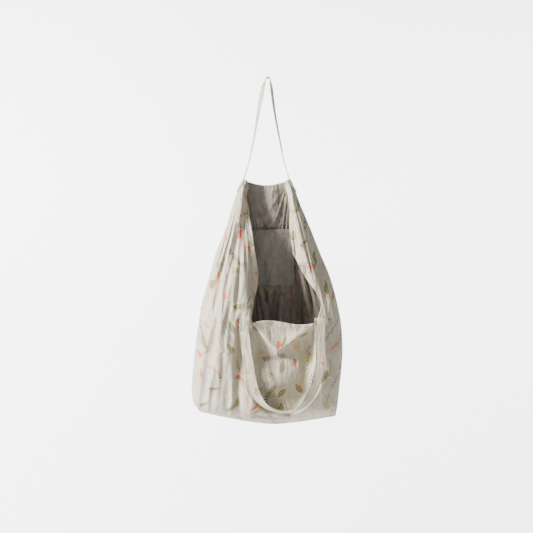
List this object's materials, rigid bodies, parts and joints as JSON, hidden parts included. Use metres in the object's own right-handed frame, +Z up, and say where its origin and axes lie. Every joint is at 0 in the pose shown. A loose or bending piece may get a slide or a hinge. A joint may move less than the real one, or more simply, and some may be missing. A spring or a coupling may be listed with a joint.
{
  "type": "linen bag",
  "caption": "Large soft linen bag hung by one of its long flat handles, its mouth open at the front, with an inner patch pocket.",
  "frame": {"origin": "the hang point, under the top bend of the back handle", "axes": "+Z up, the front of the bag towards -Y, +X to the right as seen from the front"},
  "size_m": [0.4466, 0.1882, 1.0342],
  "materials": {
    "printed_linen": "matte printed linen",
    "plain_linen": "matte plain linen"
  },
  "bodies": {
    "root": {"bag_body": "printed_linen", "back_handle": "printed_linen", "front_handle": "printed_linen", "inner_pocket": "plain_linen"}
  },
  "joints": []
}
